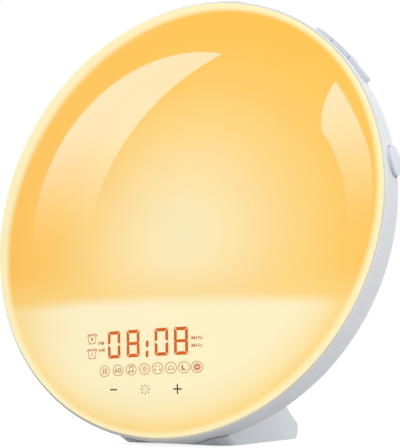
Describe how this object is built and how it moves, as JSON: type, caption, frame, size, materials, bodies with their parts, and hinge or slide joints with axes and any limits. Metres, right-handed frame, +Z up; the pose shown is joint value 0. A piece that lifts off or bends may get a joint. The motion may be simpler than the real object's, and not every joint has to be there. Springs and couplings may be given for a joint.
{
  "type": "sunrise alarm clock",
  "caption": "Round wake-up light with a domed glowing face, a display behind it, keys on its rim and a wedge foot.",
  "frame": {"origin": "middle of the rubber pad's underside, on the surface that the clock stands on", "axes": "+Z up, the lit face looks towards -Y and leans back by 9.3 degrees, +X is to the right of the face"},
  "size_m": [0.1747, 0.0731, 0.1747],
  "materials": {
    "diffuser": "milky light cover, soft satin",
    "housing_white": "moulded white ABS, fine satin",
    "key_white": "moulded white ABS, satin",
    "reflector_white": "bright white reflector plastic",
    "baffle_black": "black light-tight plastic",
    "light_board_white": "white solder mask",
    "circuit_board": "green solder mask",
    "led_warm": "yellow phosphor in a white body",
    "led_clear": "clear lens in a white body",
    "chip_black": "black epoxy",
    "connector_white": "natural nylon",
    "capacitor_sleeve": "dark blue sleeve",
    "shield_tin": "tinned steel",
    "foam_grey": "closed-cell foam",
    "basket_black": "black painted steel",
    "ferrite": "ground ferrite",
    "steel_zinc": "zinc-plated steel",
    "coil_copper": "enamelled copper wire",
    "cone_paper": "black pressed paper",
    "surround_rubber": "black rubber",
    "inlet_black": "black nylon",
    "contact_brass": "nickel-brass contact",
    "cell_steel": "plain steel can",
    "lead_black": "black insulated wire",
    "ribbon_grey": "flat grey ribbon",
    "foot_rubber": "soft dark rubber",
    "display_orange": "orange light through a clear lens",
    "touch_grey": "dark grey print"
  },
  "bodies": {
    "lamp": {"front_diffuser": "diffuser", "rim_band": "housing_white", "rear_cover": "housing_white", "stand_foot": "housing_white", "foot_plate": "housing_white", "key_switches": "chip_black", "switch_boards": "circuit_board", "light_tray": "reflector_white", "display_shroud": "reflector_white", "horizon_baffle": "baffle_black", "light_board": "light_board_white", "warm_leds": "led_warm", "colour_leds": "led_clear", "display_leds": "display_orange", "display_board": "circuit_board", "main_board": "circuit_board", "touch_pads": "touch_grey", "board_chips": "chip_black", "board_capacitors": "capacitor_sleeve", "board_connectors": "connector_white", "radio_shield": "shield_tin", "light_link": "connector_white", "display_ribbon": "ribbon_grey", "speaker_gasket": "foam_grey", "speaker_basket": "basket_black", "speaker_surround": "surround_rubber", "speaker_magnet": "ferrite", "speaker_yoke": "steel_zinc", "speaker_leads": "lead_black", "dc_inlet": "inlet_black", "inlet_pin": "contact_brass", "inlet_nut": "steel_zinc", "inlet_leads": "lead_black", "battery_holder": "inlet_black", "battery_contacts": "contact_brass", "coin_cell": "cell_steel", "battery_leads": "lead_black", "rubber_pad": "foot_rubber", "tray_screws": "steel_zinc", "cover_screws": "steel_zinc", "speaker_screws": "steel_zinc", "foot_screws": "steel_zinc", "board_screws": "steel_zinc"},
    "snooze": {"snooze_key": "key_white", "snooze_plunger": "chip_black"},
    "row_upper": {"row_key_upper": "key_white", "row_plunger_upper": "chip_black"},
    "row_middle": {"row_key_middle": "key_white", "row_plunger_middle": "chip_black"},
    "row_lower": {"row_key_lower": "key_white", "row_plunger_lower": "chip_black"},
    "oval": {"oval_key": "key_white", "oval_plunger": "chip_black"},
    "speaker_coil": {"speaker_cone": "cone_paper", "dust_cap": "cone_paper", "voice_coil": "coil_copper"},
    "door": {"battery_door": "housing_white"}
  },
  "joints": [
    {"name": "snooze_press", "type": "slide", "parent": "lamp", "child": "snooze", "axis": [0, -0.1616, -0.9869], "range_m": [0, 0.0005], "stiffness_N_per_m": 400, "springref_m": -0.002},
    {"name": "row_upper_press", "type": "slide", "parent": "lamp", "child": "row_upper", "axis": [-0.7302, -0.1104, -0.6743], "range_m": [0, 0.0005], "stiffness_N_per_m": 400, "springref_m": -0.002},
    {"name": "row_middle_press", "type": "slide", "parent": "lamp", "child": "row_middle", "axis": [-0.7302, -0.1104, -0.6743], "range_m": [0, 0.0005], "stiffness_N_per_m": 400, "springref_m": -0.002},
    {"name": "row_lower_press", "type": "slide", "parent": "lamp", "child": "row_lower", "axis": [-0.7302, -0.1104, -0.6743], "range_m": [0, 0.0005], "stiffness_N_per_m": 400, "springref_m": -0.002},
    {"name": "oval_press", "type": "slide", "parent": "lamp", "child": "oval", "axis": [-0.9857, -0.0272, -0.1663], "range_m": [0, 0.0005], "stiffness_N_per_m": 400, "springref_m": -0.002},
    {"name": "cone_stroke", "type": "slide", "parent": "lamp", "child": "speaker_coil", "axis": [0, 0.9869, -0.1616], "range_m": [-0.0008, 0.0008], "stiffness_N_per_m": 1500},
    {"name": "door_twist", "type": "hinge", "parent": "lamp", "child": "door", "pos_m": [0.027, 0.01651, 0.06313], "axis": [0, 0.9869, -0.1616], "range_deg": [0, 60]}
  ]
}
